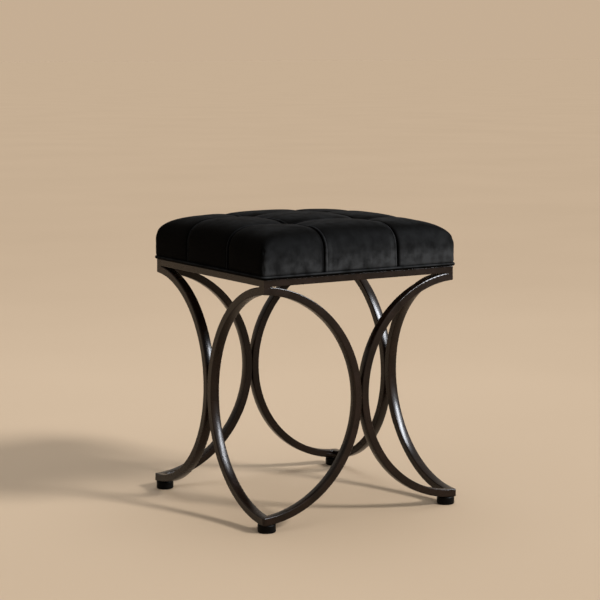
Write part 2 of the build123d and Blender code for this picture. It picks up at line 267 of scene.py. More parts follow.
def smooth(piece: Piece, angle: float = 40.0) -> None:
    """Shade a piece smooth, with edges sharper than an angle in degrees kept crisp."""
    pick(piece)
    bpy.ops.object.shade_smooth_by_angle(angle=math.radians(angle))


def dress(piece: Piece, material: Material) -> None:
    """Give a piece its one material."""
    piece.data.materials.clear()
    piece.data.materials.append(material)


# Finishes

# The part of a noise that is used, and the octaves of a fine grain and of broader streaks
NOISE = (0.3, 0.7)
GRAIN_DETAIL = 2.0
STREAK_DETAIL = 3.0


@dataclass(frozen=True)
class Finish:
    """A material in two tones, which come and go in patches of soft noise.

    Lengths are in millimetres. Roughness runs over the noise between two values, and is constant
    where they are equal. The relief follows the grain, or the patches where there is no grain.
    """

    name: str
    dark: str
    light: str
    patch: Triple
    detail: float = 3.0
    grain: Optional[Triple] = None
    relief: float = 0.0
    relief_strength: float = 1.0
    rough: Pair = (0.5, 0.5)
    rough_on_grain: bool = False
    specular: float = 0.5
    metallic: float = 0.0

    def cloud(self, tree: Tree, place: Node, size: Triple, detail: float) -> Node:
        """Add soft noise whose patches have a real size.

        Args:
            tree: Node tree.
            place: Texture coordinates.
            size: Size of a patch along X, Y and Z.
            detail: Octaves of finer noise.

        Returns:
            The noise node.
        """
        scale = tuple(1 / (each * MM) for each in size)
        stretched = add_node(tree, "Mapping", {"Scale": scale}, {"Vector": (place, "Object")})
        settings = {"Scale": 1.0, "Detail": detail}
        return add_node(tree, "TexNoise", settings, {"Vector": (stretched, "Vector")})

    def constants(self) -> dict[str, object]:
        """Return the shader's constant values by socket."""
        return {"Roughness": self.rough[0], "Specular IOR Level": self.specular, "Metallic": self.metallic}

    def paleness(self, tree: Tree, place: Node, patches: Node) -> Node:
        """Return a node whose first output is the share of the light tone."""
        return add_node(tree, "MapRange", ramp(NOISE, (0.0, 1.0)), {"Value": (patches, "Fac")})

    def surface(self, tree: Tree, place: Node, grain: Node) -> Node:
        """Return a node with the normals of the relief."""
        settings = {"Strength": self.relief_strength, "Distance": self.relief * MM}
        return add_node(tree, "Bump", settings, {"Height": (grain, "Fac")})

    def build(self) -> Material:
        """Make the material.

        Returns:
            The material, with its nodes.
        """
        material = bpy.data.materials.new(self.name)
        material.use_nodes = True
        tree = material.node_tree
        tree.nodes.clear()
        place = add_node(tree, "TexCoord")
        patches = self.cloud(tree, place, self.patch, self.detail)
        grain = self.cloud(tree, place, self.grain, GRAIN_DETAIL) if self.grain else patches
        tones = {"data_type": "RGBA", 6: linear(self.dark), 7: linear(self.light)}
        colour = add_node(tree, "Mix", tones, {0: (self.paleness(tree, place, patches), 0)})
        links = {"Base Color": (colour, 2)}
        if self.rough[0] != self.rough[1]:
            source = grain if self.rough_on_grain else patches
            gloss = add_node(tree, "MapRange", ramp(NOISE, self.rough), {"Value": (source, "Fac")})
            links["Roughness"] = (gloss, 0)
        if self.relief:
            links["Normal"] = (self.surface(tree, place, grain), "Normal")
        shader = add_node(tree, "BsdfPrincipled", self.constants(), links)
        add_node(tree, "OutputMaterial", links={"Surface": (shader, "BSDF")})
        return material


@dataclass(frozen=True)
class BakedBronzeCoat(Finish):
    """Steel tube with a baked dark bronze coat, half glossy.

    The coat gives long bright streaks along the tubes, a faint orange peel in them, and a brown
    cast that comes and goes. The arcs' outer faces lean in from their foot to their top.
    """

    name: str = "baked_bronze_coat"
    dark: str = "#100905"
    light: str = "#1d110a"
    patch: Triple = (30.0, 30.0, 30.0)
    detail: float = 4.0
    # real orange peel is about 1 mm, drawn coarser so that it shows
    grain: Triple = (2.2, 2.2, 2.2)
    relief: float = 0.012
    rough: Pair = (0.22, 0.30)
    specular: float = 0.23
    crown: float = 1.1
    tube_depth: float = 16.5
    arc_heights: Pair = (13.8, 399.5)
    arc_faces: Pair = (192.5, 185.0)

    def surface(self, tree: Tree, place: Node, grain: Node) -> Node:
        """Crown the tubes' faces, as rolling does, so that a streak narrows to their middle.

        Args:
            tree: Node tree.
            place: Texture coordinates.
            grain: Noise of the orange peel.

        Returns:
            The node with the normals of the peel and the crowning.
        """
        peel = super().surface(tree, place, grain)
        spot = add_node(tree, "SeparateXYZ", links={0: (place, "Object")})
        across = [add_node(tree, "Math", {"operation": "ABSOLUTE"}, {0: (spot, axis)}) for axis in "XY"]
        outer = add_node(tree, "Math", {"operation": "MAXIMUM"}, {0: (across[0], 0), 1: (across[1], 0)})
        lean = ramp([height * MM for height in self.arc_heights], [face * MM for face in self.arc_faces])
        face = add_node(tree, "MapRange", lean, {"Value": (spot, "Z")})
        depth = add_node(tree, "Math", {"operation": "SUBTRACT"}, {0: (face, 0), 1: (outer, 0)})
        span = ramp((0.0, self.tube_depth * MM), (-1.0, 1.0))
        share = add_node(tree, "MapRange", span, {"Value": (depth, 0)})
        fall = add_node(tree, "Math", {"operation": "MULTIPLY"}, {0: (share, 0), 1: (share, 0)})
        settings = {"invert": True, "Strength": 1.0, "Distance": self.crown * MM}
        return add_node(tree, "Bump", settings, {"Height": (fall, 0), "Normal": (peel, "Normal")})


@dataclass(frozen=True)
class ZincPlatedSteel(Finish):
    """Pressed and turned steel with bright zinc plating, which mottles in soft blotches."""

    name: str = "zinc_plated_steel"
    dark: str = "#8f8f8c"
    light: str = "#b9babb"
    patch: Triple = (3.0, 3.0, 3.0)
    detail: float = 4.0
    rough: Pair = (0.24, 0.42)
    metallic: float = 1.0


@dataclass(frozen=True)
class MouldedNylon(Finish):
    """Black moulded nylon with a fine spark-eroded grain, dull with a soft light along its lips."""

    name: str = "moulded_nylon"
    dark: str = "#020202"
    light: str = "#060606"
    patch: Triple = (9.0, 9.0, 4.0)
    detail: float = 4.0
    grain: Triple = (0.8, 0.8, 0.8)
    relief: float = 0.04
    rough: Pair = (0.32, 0.5)
    specular: float = 0.07


@dataclass(frozen=True)
class BirchPlywood(Finish):
    """Rotary cut birch face of plywood: pale, with long wavy grain and duller pores along X."""

    name: str = "birch_plywood"
    dark: str = "#a9805a"
    light: str = "#d0ab7e"
    patch: Triple = (160.0, 9.0, 40.0)
    grain: Triple = (12.0, 0.9, 0.9)
    relief: float = 0.08
    rough: Pair = (0.55, 0.75)
    rough_on_grain: bool = True


@dataclass(frozen=True)
class CutFoam(Finish):
    """Open cell polyurethane foam, sawn: dull, cream, with cells of about 1.5 mm."""

    name: str = "cut_foam"
    dark: str = "#b9a86f"
    light: str = "#ddcf9d"
    patch: Triple = (1.5, 1.5, 1.5)
    relief: float = 0.5
    rough: Pair = (0.95, 0.95)
    specular: float = 0.2


@dataclass(frozen=True)
class BlackVelvet(Finish):
    """Black cut velvet with a short pile.

    Its paleness comes from painted light and shade stored on the mesh: painted shade where it faces the
    viewer or away from the lamps, and painted highlights along folds and edges. Where it has been stroked
    it lies in paler patches and in streaks that run down the sides.
    """

    name: str = "black_velvet"
    dark: str = "#020202"
    light: str = "#393e45"
    patch: Triple = (17.0, 17.0, 17.0)
    detail: float = 4.0
    # real pile is about 0.2 mm, drawn coarser so that it shows
    grain: Triple = (0.9, 0.9, 0.9)
    relief: float = 0.25
    relief_strength: float = 0.6
    rough: Pair = (0.7, 0.7)
    specular: float = 0.016
    streak: Triple = (6.0, 6.0, 40.0)
    patch_share: float = 0.75
    streak_share: float = 0.5
    blend_range: Pair = (0.25, 0.9)
    mottle: Pair = (0.27, 1.0)
    sheen: float = 0.004
    sheen_rough: float = 0.3
    sheen_tint: str = "#b4b4b8"

    def constants(self) -> dict[str, object]:
        """Return the shader's constant values by socket, with the sheen of the pile."""
        sheen = {"Sheen Weight": self.sheen, "Sheen Roughness": self.sheen_rough}
        return {**super().constants(), **sheen, "Sheen Tint": linear(self.sheen_tint)}

    def paleness(self, tree: Tree, place: Node, patches: Node) -> Node:
        """Mottle the pile in patches and streaks, times the painted light and shade stored on the mesh.

        Args:
            tree: Node tree.
            place: Texture coordinates.
            patches: Noise of the stroked patches.

        Returns:
            The node whose first output is the share of the light tone.
        """
        streaks = self.cloud(tree, place, self.streak, STREAK_DETAIL)
        pale = ramp(NOISE, (0.0, self.patch_share))
        stroked = add_node(tree, "MapRange", pale, {"Value": (patches, "Fac")})
        streaked = {"operation": "MULTIPLY_ADD", 1: self.streak_share}
        blend = add_node(tree, "Math", streaked, {0: (streaks, "Fac"), 2: (stroked, 0)})
        mottle = add_node(tree, "MapRange", ramp(self.blend_range, self.mottle), {"Value": (blend, 0)})
        # painted light and shade, stored on the mesh
        painted_light = add_node(tree, "Attribute", {"attribute_name": PAINTED_LIGHT_ATTRIBUTE})
        return add_node(tree, "Math", {"operation": "MULTIPLY"}, {0: (mottle, 0), 1: (painted_light, "Fac")})


@dataclass(frozen=True)
class WaxedTwine(Finish):
    """Waxed linen twine, pale and slightly shiny, with its ply showing as short bands."""

    name: str = "waxed_twine"
    dark: str = "#9c8f74"
    light: str = "#cfc4a8"
    patch: Triple = (1.2, 1.2, 1.6)
    detail: float = 2.0
    relief: float = 0.3


@dataclass(frozen=True)
class NonWovenCloth(Finish):
    """Black spun-bonded cloth, dull, with the faint mottle of its pressed fibres."""

    name: str = "non_woven_cloth"
    dark: str = "#0d0d0e"
    light: str = "#232324"
    patch: Triple = (1.4, 3.0, 1.4)
    detail: float = 4.0
    relief: float = 0.12
    rough: Pair = (0.85, 0.85)


@dataclass(frozen=True)
class PaleFloor(Finish):
    """Plain pale painted floor, matt, with hardly any variation."""

    name: str = "pale_floor"
    dark: str = "#cabba9"
    light: str = "#cdbeac"
    patch: Triple = (900.0, 900.0, 900.0)
    detail: float = 2.0
    rough: Pair = (0.8, 0.8)
    specular: float = 0.0


# Seat

# How the velvet gives way while the cover is blown up, with the seams and the foot held
HELD = "held"
COVER_CLOTH = {
    "quality": 6,
    "mass": 0.3,
    "tension_stiffness": 18.0,
    "compression_stiffness": 12.0,
    "shear_stiffness": 6.0,
    "bending_stiffness": 0.6,
    "vertex_group_mass": HELD,
    "use_pressure": True,
}


@dataclass(frozen=True)
class Pattern:
    """Where the cover's vertices lie on its flat pattern, in millimetres.

    X and Y are measured from the middle of the seat, and down is the distance down the side.
    """

    x: np.ndarray
    y: np.ndarray
    down: np.ndarray

    def across(self, axis: Across) -> tuple[np.ndarray, np.ndarray]:
        """Return where the vertices lie across one axis, and how far out along the other."""
        over, along = (self.x, self.y) if axis is Across.X else (self.y, self.x)
        return over, np.abs(along) + self.down

    def on_seam(self) -> np.ndarray:
        """Return which vertices lie on a seam."""
        return (np.abs(np.abs(self.x) - SEAM) < NEAR) | (np.abs(np.abs(self.y) - SEAM) < NEAR)

    def store(self, skin: Piece) -> None:
        """Store the pattern on the skin's vertices, so that it survives subdivision.

        Args:
            skin: Skin, before subdivision.
        """
        rows = np.column_stack([self.x, self.y, self.down]).astype(np.float32)
        stored = skin.data.attributes.new("pattern", "FLOAT_VECTOR", "POINT")
        stored.data.foreach_set("vector", rows.ravel())

    @classmethod
    def take(cls, skin: Piece) -> "Pattern":
        """Read the stored pattern and remove it from the mesh.

        Args:
            skin: Skin, after subdivision.

        Returns:
            The pattern of all its vertices.
        """
        stored = skin.data.attributes["pattern"]
        rows = rows_of(stored.data, "vector")
        skin.data.attributes.remove(stored)
        return cls(*rows.T)


@dataclass(frozen=True)
class PaintedPileLight:
    """Painted light and shade on the cushion's velvet, stored on its mesh.

    Lengths are in millimetres. A gap is measured from a seam towards the middle of the seat.
    """

    half: float
    foot: float
    side_rises: Row = (22.0, 36.0, 52.0)
    side_shares: Row = (1.08, 1.0, 0.42, 0.24)
    to_viewer: Triple = (-0.52, -0.85, 0.0)
    darkest_slope: float = 0.38
    palest_top: float = 1.5
    band_start: float = 1.5
    band_stop: float = 15.0
    band_fade: float = 3.0
    band_highlight: float = 0.75
    fold_gap: float = 3.6
    fold_width: float = 1.4
    fold_highlight: float = 0.34
    shade_inside: float = 1.6
    shade_left: float = 6.8
    shade_right: float = 5.4
    shade_power: int = 4
    pocket_shift: Pair = (20.0, 4.0)
    pocket_size: Pair = (26.0, 11.0)
    pocket_shade: float = 0.9
    light_slant: float = 0.24
    palest: float = 1.6

    def on_faces(self, normal: np.ndarray, rise: np.ndarray) -> np.ndarray:
        """Painted light and shade on the sides and on the top, by which way each part faces.

        Args:
            normal: Normals of the skin.
            rise: Heights over the apron.

        Returns:
            Share of the light tone at each vertex.
        """
        sides = {
            FacingLight.FRONT: -normal[:, 1],
            FacingLight.RIGHT: normal[:, 0],
            FacingLight.BACK: normal[:, 1],
            FacingLight.LEFT: -normal[:, 0],
        }
        # painted light by side: most on the front and right, painted shade on the back and left, paler low
        # on the sides
        painted_light = sum(side.value * np.clip(share, 0, 1) ** 2 for side, share in sides.items())
        painted_light = painted_light * np.interp(rise, (self.foot, *self.side_rises), self.side_shares)
        # on top, painted shade on slopes that face the front, towards the viewer, and painted light on the
        # rest, as a sheen would look
        slope = normal @ np.array(self.to_viewer)
        lit = np.clip(1 - slope / self.darkest_slope, 0, self.palest_top)
        return painted_light + FacingLight.TOP.value * np.clip(normal[:, 2], 0, 1) ** 2 * lit

    def beside_seams(self, painted_light: np.ndarray, over: np.ndarray, upright: np.ndarray) -> np.ndarray:
        """Paint a highlight in a band beside each seam and along its fold, and paint shade in the seam.

        Args:
            painted_light: Share of the light tone so far.
            over: Where the vertices lie across the seams.
            upright: How upright the skin is, from zero to one.

        Returns:
            Share of the light tone with the seams.
        """
        # painted highlight in a band beside the seam and along its fold, then painted shade in the seam
        gap = SEAM - np.abs(over)
        band = np.clip(gap / self.band_start, 0, 1) * np.clip((self.band_stop - gap) / self.band_fade, 0, 1)
        fold = np.exp(-(((gap - self.fold_gap) / self.fold_width) ** 2))
        painted_light = painted_light * (1 + self.band_highlight * band * upright) + self.fold_highlight * fold
        outside = np.where(over < 0, self.shade_left, self.shade_right)
        width = np.where(gap > 0, self.shade_inside, outside)
        return painted_light * (1 - np.exp(-((gap / width) ** self.shade_power)))

    def brush(self, skin: Piece, pattern: Pattern, rise: np.ndarray) -> None:
        """Store the painted light and shade, from zero to the palest.

        Args:
            skin: Subdivided skin, before its fine seams.
            pattern: Its flat pattern.
            rise: Heights over the apron.
        """
        normal = normals_of(skin)
        painted_light = self.on_faces(normal, rise)
        for over in (pattern.x, pattern.y):
            painted_light = self.beside_seams(painted_light, over, np.clip(1 - normal[:, 2], 0, 1))
        # painted shade in a pocket beside each tuft
        (shift_x, shift_y), (size_x, size_y) = self.pocket_shift, self.pocket_size
        for tuft_x, tuft_y in itertools.product((-SEAM, SEAM), repeat=2):
            away_x = (pattern.x - tuft_x - shift_x) / size_x
            away_y = (pattern.y - tuft_y - shift_y) / size_y
            painted_light = painted_light * (1 - self.pocket_shade * np.exp(-(away_x ** 2 + away_y ** 2)))
        # painted light, paler towards the lit side at +X
        painted_light = painted_light * (1 + self.light_slant * pattern.x / self.half)
        set_painted_light(skin, np.clip(painted_light, 0, self.palest))


@dataclass
class SeatCushion:
    """Tufted velvet cover, padded, in nine biscuits.

    Lengths are in millimetres, and heights are from the top of the apron. A channel is the broad
    hollow along a seam and a stitch its fine line, with values by how far out along the seam.
    """

    half: float = 188.4
    foot: float = 5.3
    side_height: float = 34.0
    crown_centre: float = 85.0
    edge_fall: float = 4.5
    corner_fall: float = -1.5
    apex: float = 118.6
    squareness: float = 2.5
    corner_radius: float = 7.0
    rounding_growth: float = 50.0
    least_radius: float = 0.001
    square_to: float = 96.0
    draw_in: float = 1.5
    draw_in_power: int = 6
    middle_lines: Row = (0.0, 9.0, 18.0, 27.0, 36.0)
    seam_lines: Row = (-25, -18, -12, -8, -5.6, -3.6, -1.6, 0, 1.6, 4, 8, 13, 19, 26)
    outer_lines: Row = (104.0, 111.0)
    shoulder_rings: int = 15
    side_rows: int = 5
    channel_reach: Row = (0.0, 38.0, 62.0, 71.0, 80.0, 104.0, 140.0, 175.0, 188.0, 215.0)
    channel_depth: Row = (4.5, 5.5, 9.0, 11.0, 9.0, 4.5, 3.0, 2.2, 1.6, 0.6)
    channel_width: Row = (15.0, 16.0, 19.0, 21.0, 19.0, 15.0, 12.0, 9.0, 7.0, 5.0)
    swell: float = 6.0
    pressure: float = 4.0
    frames: int = 18
    stitch_reach: Row = (0.0, 150.0, 185.0, 200.0, 216.0)
    stitch_depth: Row = (3.4, 3.4, 3.0, 2.6, 1.4)
    stitch_width: float = 1.1
    fold_height: Row = (0.4, 0.5, 0.7, 0.9, 0.6)
    fold_gap: float = 3.0
    fold_width: float = 1.5
    fold_edge_gap: float = 5.6
    fold_edge_width: float = 0.8
    fold_edge_depth: float = 1.1
    crease: float = 1.3
    crease_width: float = 1.4
    crease_rises: Row = (16.0, 38.0, 44.0, 50.0)
    crease_shares: Row = (0.5, 1.0, 0.9, 1.0, 0.0)
    dimple: float = 1.6
    dimple_rise: float = 45.0
    dimple_size: float = 3.0
    tuck: float = 1.4
    tuck_rise: float = 5.0
    side_gap: float = 0.1
    top_gap: float = 0.2

    def shoulder(self, ring: Union[int, np.ndarray]) -> tuple[np.ndarray, np.ndarray]:
        """Place the rings of the shoulder on a squared circle.

        Args:
            ring: Number of the ring, from zero at the side.

        Returns:
            How far out and how far up it is, as shares from zero to one.
        """
        angle = math.pi / 2 * ring / self.shoulder_rings
        power = 2 / self.squareness
        return np.cos(angle) ** power, np.sin(angle) ** power

    def half_lines(self) -> list[float]:
        """Give the grid lines from the middle to one side, close together at the seam.

        Returns:
            Distances from the middle.
        """
        near = [SEAM + gap for gap in self.seam_lines]
        rings = range(self.shoulder_rings - 1, -1, -1)
        shoulder = [self.apex + (self.half - self.apex) * self.shoulder(ring)[0] for ring in rings]
        return [*self.middle_lines, *near, *self.outer_lines, self.apex, *shoulder]

    def crown(self, x: np.ndarray, y: np.ndarray) -> np.ndarray:
        """Height of the smooth dome that the biscuits are cut from.

        Args:
            x: Plan distances.
            y: Plan distances.

        Returns:
            Heights over the apron.
        """
        u = np.minimum(np.abs(x) / self.apex, 1.0) ** 2
        v = np.minimum(np.abs(y) / self.apex, 1.0) ** 2
        return self.crown_centre - self.edge_fall * (u + v) - self.corner_fall * u * v

    def build_grid(self) -> Piece:
        """Add a grid for the top and extrude its border down for the sides.

        Returns:
            The open skin, still flat and even.
        """
        cells = 2 * (len(self.half_lines()) - 1)
        skin = add_primitive(
            bpy.ops.mesh.primitive_grid_add, "seat_cushion",
            x_subdivisions=cells, y_subdivisions=cells, size=2.0, location=(0, 0, 0),
        )
        with editing(skin):
            select_boundary()
            for _ in range(self.side_rows):
                bpy.ops.mesh.extrude_edges_move(TRANSFORM_OT_translate={"value": (0, 0, -1)})
        return skin

    def rounded(
        self, x: np.ndarray, y: np.ndarray, half: np.ndarray, radius: np.ndarray
    ) -> tuple[np.ndarray, np.ndarray]:
        """Round the corners of square rings.

        Args:
            x: Points of the rings.
            y: Points of the rings.
            half: Half width of each point's ring.
            radius: Corner radius of each point's ring.

        Returns:
            The points, with those past a corner's circle brought onto it.
        """
        dx = np.abs(x) - (half - radius)
        dy = np.abs(y) - (half - radius)
        past = (dx > 0) & (dy > 0)
        share = np.where(past, radius / np.maximum(np.hypot(dx, dy), 1e-6), 1.0)
        new_x = np.where(past, np.sign(x) * (half - radius + dx * share), x)
        new_y = np.where(past, np.sign(y) * (half - radius + dy * share), y)
        return new_x, new_y

    def drawn_in(self, place: np.ndarray, along: np.ndarray) -> np.ndarray:
        """Draw the sides in between the corners.

        Args:
            place: Plan distances across a pair of sides.
            along: Flat pattern along these sides.

        Returns:
            The plan distances, drawn in.
        """
        pull = self.draw_in * np.cos(np.clip(along / self.half, -1, 1) * math.pi / 2)
        return place - np.sign(place) * pull * (np.abs(place) / self.half) ** self.draw_in_power

    def shape_dome(self, skin: Piece) -> Pattern:
        """Bend the even grid into the smooth crowned form.

        Args:
            skin: Grid from build_grid.

        Returns:
            The flat pattern of its vertices.
        """
        raw = points_of(skin)
        lines = self.half_lines()
        count = len(lines) - 1
        steps = np.rint(np.abs(raw[:, :2]) * count).astype(int)
        flat_x, flat_y = (np.sign(np.round(raw[:, :2], 6)) * np.array(lines)[steps]).T
        row = np.rint(-raw[:, 2]).astype(int)
        ring = np.minimum(count - steps.max(axis=1), self.shoulder_rings)
        on_shoulder = ring < self.shoulder_rings
        out, up = self.shoulder(ring)
        flat_half = np.maximum(np.abs(flat_x), np.abs(flat_y))
        half = np.where(on_shoulder, self.apex + (self.half - self.apex) * out, flat_half)
        inner = np.clip((flat_half - self.square_to) / (self.apex - self.square_to), 0.0, 1.0)
        radius = np.where(
            on_shoulder,
            self.corner_radius + self.rounding_growth * (1 - out),
            (self.corner_radius + self.rounding_growth) * inner + self.least_radius,
        )
        x, y = self.rounded(flat_x, flat_y, half, radius)
        drop = (self.side_height - self.foot) / self.side_rows
        top = self.side_height + (self.crown(flat_x, flat_y) - self.side_height) * up
        z = np.where(row > 0, self.side_height - row * drop, top) + APRON_TOP
        set_points(skin, np.column_stack([self.drawn_in(x, flat_y), self.drawn_in(y, flat_x), z]) * MM)
        return Pattern(flat_x, flat_y, row * drop)

    def sew(self, skin: Piece, pattern: Pattern) -> None:
        """Pull the cover in along the seams and at the tufts.

        Args:
            skin: Crowned skin.
            pattern: Its flat pattern.
        """
        cubes = []
        for axis in Across:
            over, reach = pattern.across(axis)
            depth = np.interp(reach, self.channel_reach, self.channel_depth)
            width = np.interp(reach, self.channel_reach, self.channel_width)
            cubes.append((depth * np.exp(-(np.abs(np.abs(over) - SEAM) / width))) ** 3)
        set_points(skin, points_of(skin) - normals_of(skin) * np.cbrt(sum(cubes))[:, None] * MM)

    def crease_seams(self, skin: Piece, sewn: np.ndarray) -> None:
        """Keep the seams' edges sharp when the skin is subdivided.

        Args:
            skin: Sewn skin.
            sewn: Which vertices lie on a seam.
        """
        mesh = skin.data
        ends = np.zeros(len(mesh.edges) * 2, dtype=int)
        mesh.edges.foreach_get("vertices", ends)
        sharp = sewn[ends.reshape(-1, 2)].all(axis=1).astype(np.float32)
        mesh.attributes.new("crease_edge", "FLOAT", "EDGE").data.foreach_set("value", sharp)

    def inflate(self, skin: Piece, held: np.ndarray) -> None:
        """Swell the cover between its seams by cloth pressure, and keep the swelling small.

        Args:
            skin: Sewn skin.
            held: Which vertices stay in place.
        """
        start = points_of(skin)
        group = skin.vertex_groups.new(name=HELD)
        group.add([int(k) for k in np.flatnonzero(held)], 1.0, "REPLACE")
        cloth = skin.modifiers.new("Swelling", "CLOTH")
        for key, value in COVER_CLOTH.items():
            setattr(cloth.settings, key, value)
        cloth.settings.uniform_pressure_force = self.pressure
        cloth.settings.effector_weights.gravity = 0.0
        cloth.point_cache.frame_start = 1
        cloth.point_cache.frame_end = self.frames
        for step in range(1, self.frames + 1):
            bpy.context.scene.frame_set(step)
        pick(skin)
        bpy.ops.object.modifier_apply(modifier=cloth.name)
        bpy.context.scene.frame_set(1)
        skin.vertex_groups.clear()
        move = points_of(skin) - start
        length = np.linalg.norm(move, axis=1, keepdims=True)
        limit = self.swell * MM
        soft = limit * np.tanh(length / limit)
        set_points(skin, start + move * soft / np.maximum(length, 1e-9))
        LOG.info("cushion swelled by up to %.1f mm", float(length.max()) / MM)

    def stitch_line(self, over: np.ndarray, reach: np.ndarray) -> np.ndarray:
        """Fine profile of a seam: a crevice, with a narrow fold on the side of the seat's middle.

        Args:
            over: Where the vertices lie across the seams.
            reach: How far out along the seams they lie.

        Returns:
            Depth at each vertex.
        """
        offset = np.abs(over) - SEAM
        depth = np.interp(reach, self.stitch_reach, self.stitch_depth)
        crevice = depth * np.exp(-np.abs(offset) / self.stitch_width)
        fold = np.interp(reach, self.stitch_reach, self.fold_height)
        lip = fold * np.exp(-(((offset + self.fold_gap) / self.fold_width) ** 2))
        fall = np.exp(-np.abs(offset + self.fold_edge_gap) / self.fold_edge_width)
        return crevice - lip + self.fold_edge_depth * fold * fall

    def corner_crease(self, points: np.ndarray) -> np.ndarray:
        """Depth of the upright crease at each corner, which ends in a dimple.

        Args:
            points: Skin, measured over the apron.

        Returns:
            Depth at each vertex.
        """
        x, y, rise = np.abs(points[:, 0]), np.abs(points[:, 1]), points[:, 2]
        offset = np.abs(x - y) / math.sqrt(2)
        share = np.interp(rise, (self.foot, *self.crease_rises), self.crease_shares)
        line = self.crease * share * np.exp(-offset / self.crease_width)
        away = ((rise - self.dimple_rise) / self.dimple_size) ** 2 + (offset / self.dimple_size) ** 2
        dimple = self.dimple * self.crease * np.exp(-away)
        return np.where((x > self.apex) & (y > self.apex), line + dimple, 0.0)

    def finish_surface(self, skin: Piece) -> None:
        """Paint the velvet's light and shade, and press the fine seams, the corner creases and the foot's
        tuck in.

        Args:
            skin: Subdivided skin.
        """
        pattern = Pattern.take(skin)
        points = points_of(skin)
        over_apron = points / MM - np.array([0.0, 0.0, APRON_TOP])
        rise = over_apron[:, 2]
        seams = [self.stitch_line(*pattern.across(axis)) for axis in Across]
        depth = np.maximum(*seams) + np.minimum(np.minimum(*seams), 0.0) + self.corner_crease(over_apron)
        tuck = self.tuck * np.clip(1 - (rise - self.foot) / self.tuck_rise, 0, 1) ** 2
        # painted light and shade of the velvet
        PaintedPileLight(self.half, self.foot).brush(skin, pattern, rise)
        set_points(skin, points - normals_of(skin) * (depth + tuck)[:, None] * MM)

    def turn_in(self, skin: Piece, half: float, rise: float) -> None:
        """Extrude the open edge inwards to a square opening and then up.

        Args:
            skin: Skin that is open at the foot.
            half: Half width of the opening.
            rise: Height of the opening.
        """
        with editing(skin):
            select_boundary()
            bpy.ops.mesh.extrude_edges_move(TRANSFORM_OT_translate={"value": (0, 0, 0)})
        chosen = np.zeros(len(skin.data.vertices), dtype=bool)
        skin.data.vertices.foreach_get("select", chosen)
        points = points_of(skin)
        points[chosen, :2] = np.clip(points[chosen, :2], -half * MM, half * MM)
        points[chosen, 2] = points[chosen, 2].mean()
        set_points(skin, points)
        with editing(skin):
            select_boundary()
            bpy.ops.mesh.extrude_edges_move(TRANSFORM_OT_translate={"value": (0, 0, rise * MM)})

    def close_underside(self, skin: Piece) -> None:
        """Turn the bottom edge in under the cover and up round the board and the foam.

        Args:
            skin: Finished skin, open at the foot.
        """
        self.turn_in(skin, BOARD_HALF + self.side_gap, BOARD_TOP - self.foot)
        self.turn_in(skin, FOAM_HALF + self.side_gap, FOAM_TOP + self.top_gap - BOARD_TOP)
        with editing(skin):
            select_boundary()
            bpy.ops.mesh.edge_face_add()
            bpy.ops.mesh.select_all(action="SELECT")
            bpy.ops.mesh.remove_doubles(threshold=1e-6)
            bpy.ops.mesh.normals_make_consistent(inside=False)

    def build(self, velvet: Material) -> Piece:
        """Make the cushion.

        Args:
            velvet: Finish of the cover.

        Returns:
            The finished piece.
        """
        skin = self.build_grid()
        pattern = self.shape_dome(skin)
        self.sew(skin, pattern)
        sewn = pattern.on_seam()
        at_foot = pattern.down > self.side_height - self.foot - NEAR
        self.inflate(skin, sewn | at_foot)
        self.crease_seams(skin, sewn)
        pattern.store(skin)
        apply_modifier(skin, "SUBSURF", levels=2, render_levels=2)
        self.finish_surface(skin)
        self.close_underside(skin)
        smooth(skin, 60.0)
        dress(skin, velvet)
        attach(skin, BODY)
        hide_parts("seat_cover")
        return skin


@dataclass
class SeatWelt:
    """Velvet piping round the foot of the cover, on the apron."""

    centre_half: float = 187.0
    corner_radius: float = 6.0
    radius: float = 3.0
    front_light: float = 0.55
    right_light: float = 0.5
    least_light: float = 0.25
    light_gain: float = 1.3
    crest: float = 0.45
    crest_width: float = 0.35

    def paint_welt_light(self, welt: Piece) -> None:
        """Store the painted light of the piping: a painted highlight along the top of the roll, paler on
        the front and right.

        Args:
            welt: Finished roll.
        """
        x, y, z = normals_of(welt).T
        # painted highlight along the top of the roll, brighter on the front and right
        side = self.front_light * np.clip(-y, 0, 1) + self.right_light * np.clip(x, 0, 1) + self.least_light
        set_painted_light(welt, self.light_gain * side * np.exp(-(((z - self.crest) / self.crest_width) ** 2)))

    def build(self, velvet: Material) -> Piece:
        """Make the welt.

        Args:
            velvet: Finish of the piping.

        Returns:
            The finished piece.
        """
        welt = add_primitive(
            bpy.ops.mesh.primitive_plane_add, "seat_welt_piping",
            size=2 * self.centre_half * MM, location=(0, 0, (APRON_TOP + self.radius) * MM),
        )
        with editing(welt, "VERT"):
            bpy.ops.mesh.select_all(action="SELECT")
            bpy.ops.mesh.bevel(offset=self.corner_radius * MM, segments=8, affect="VERTICES")
            bpy.ops.mesh.select_all(action="SELECT")
            bpy.ops.mesh.delete(type="ONLY_FACE")
        pick(welt)
        bpy.ops.object.convert(target="CURVE")
        welt.data.dimensions = "3D"
        welt.data.bevel_depth = self.radius * MM
        welt.data.bevel_resolution = 6
        bpy.ops.object.convert(target="MESH")
        welt.data.name = welt.name
        smooth(welt, 60.0)
        self.paint_welt_light(welt)
        dress(welt, velvet)
        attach(welt, BODY)
        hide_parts("seat_welt")
        return welt


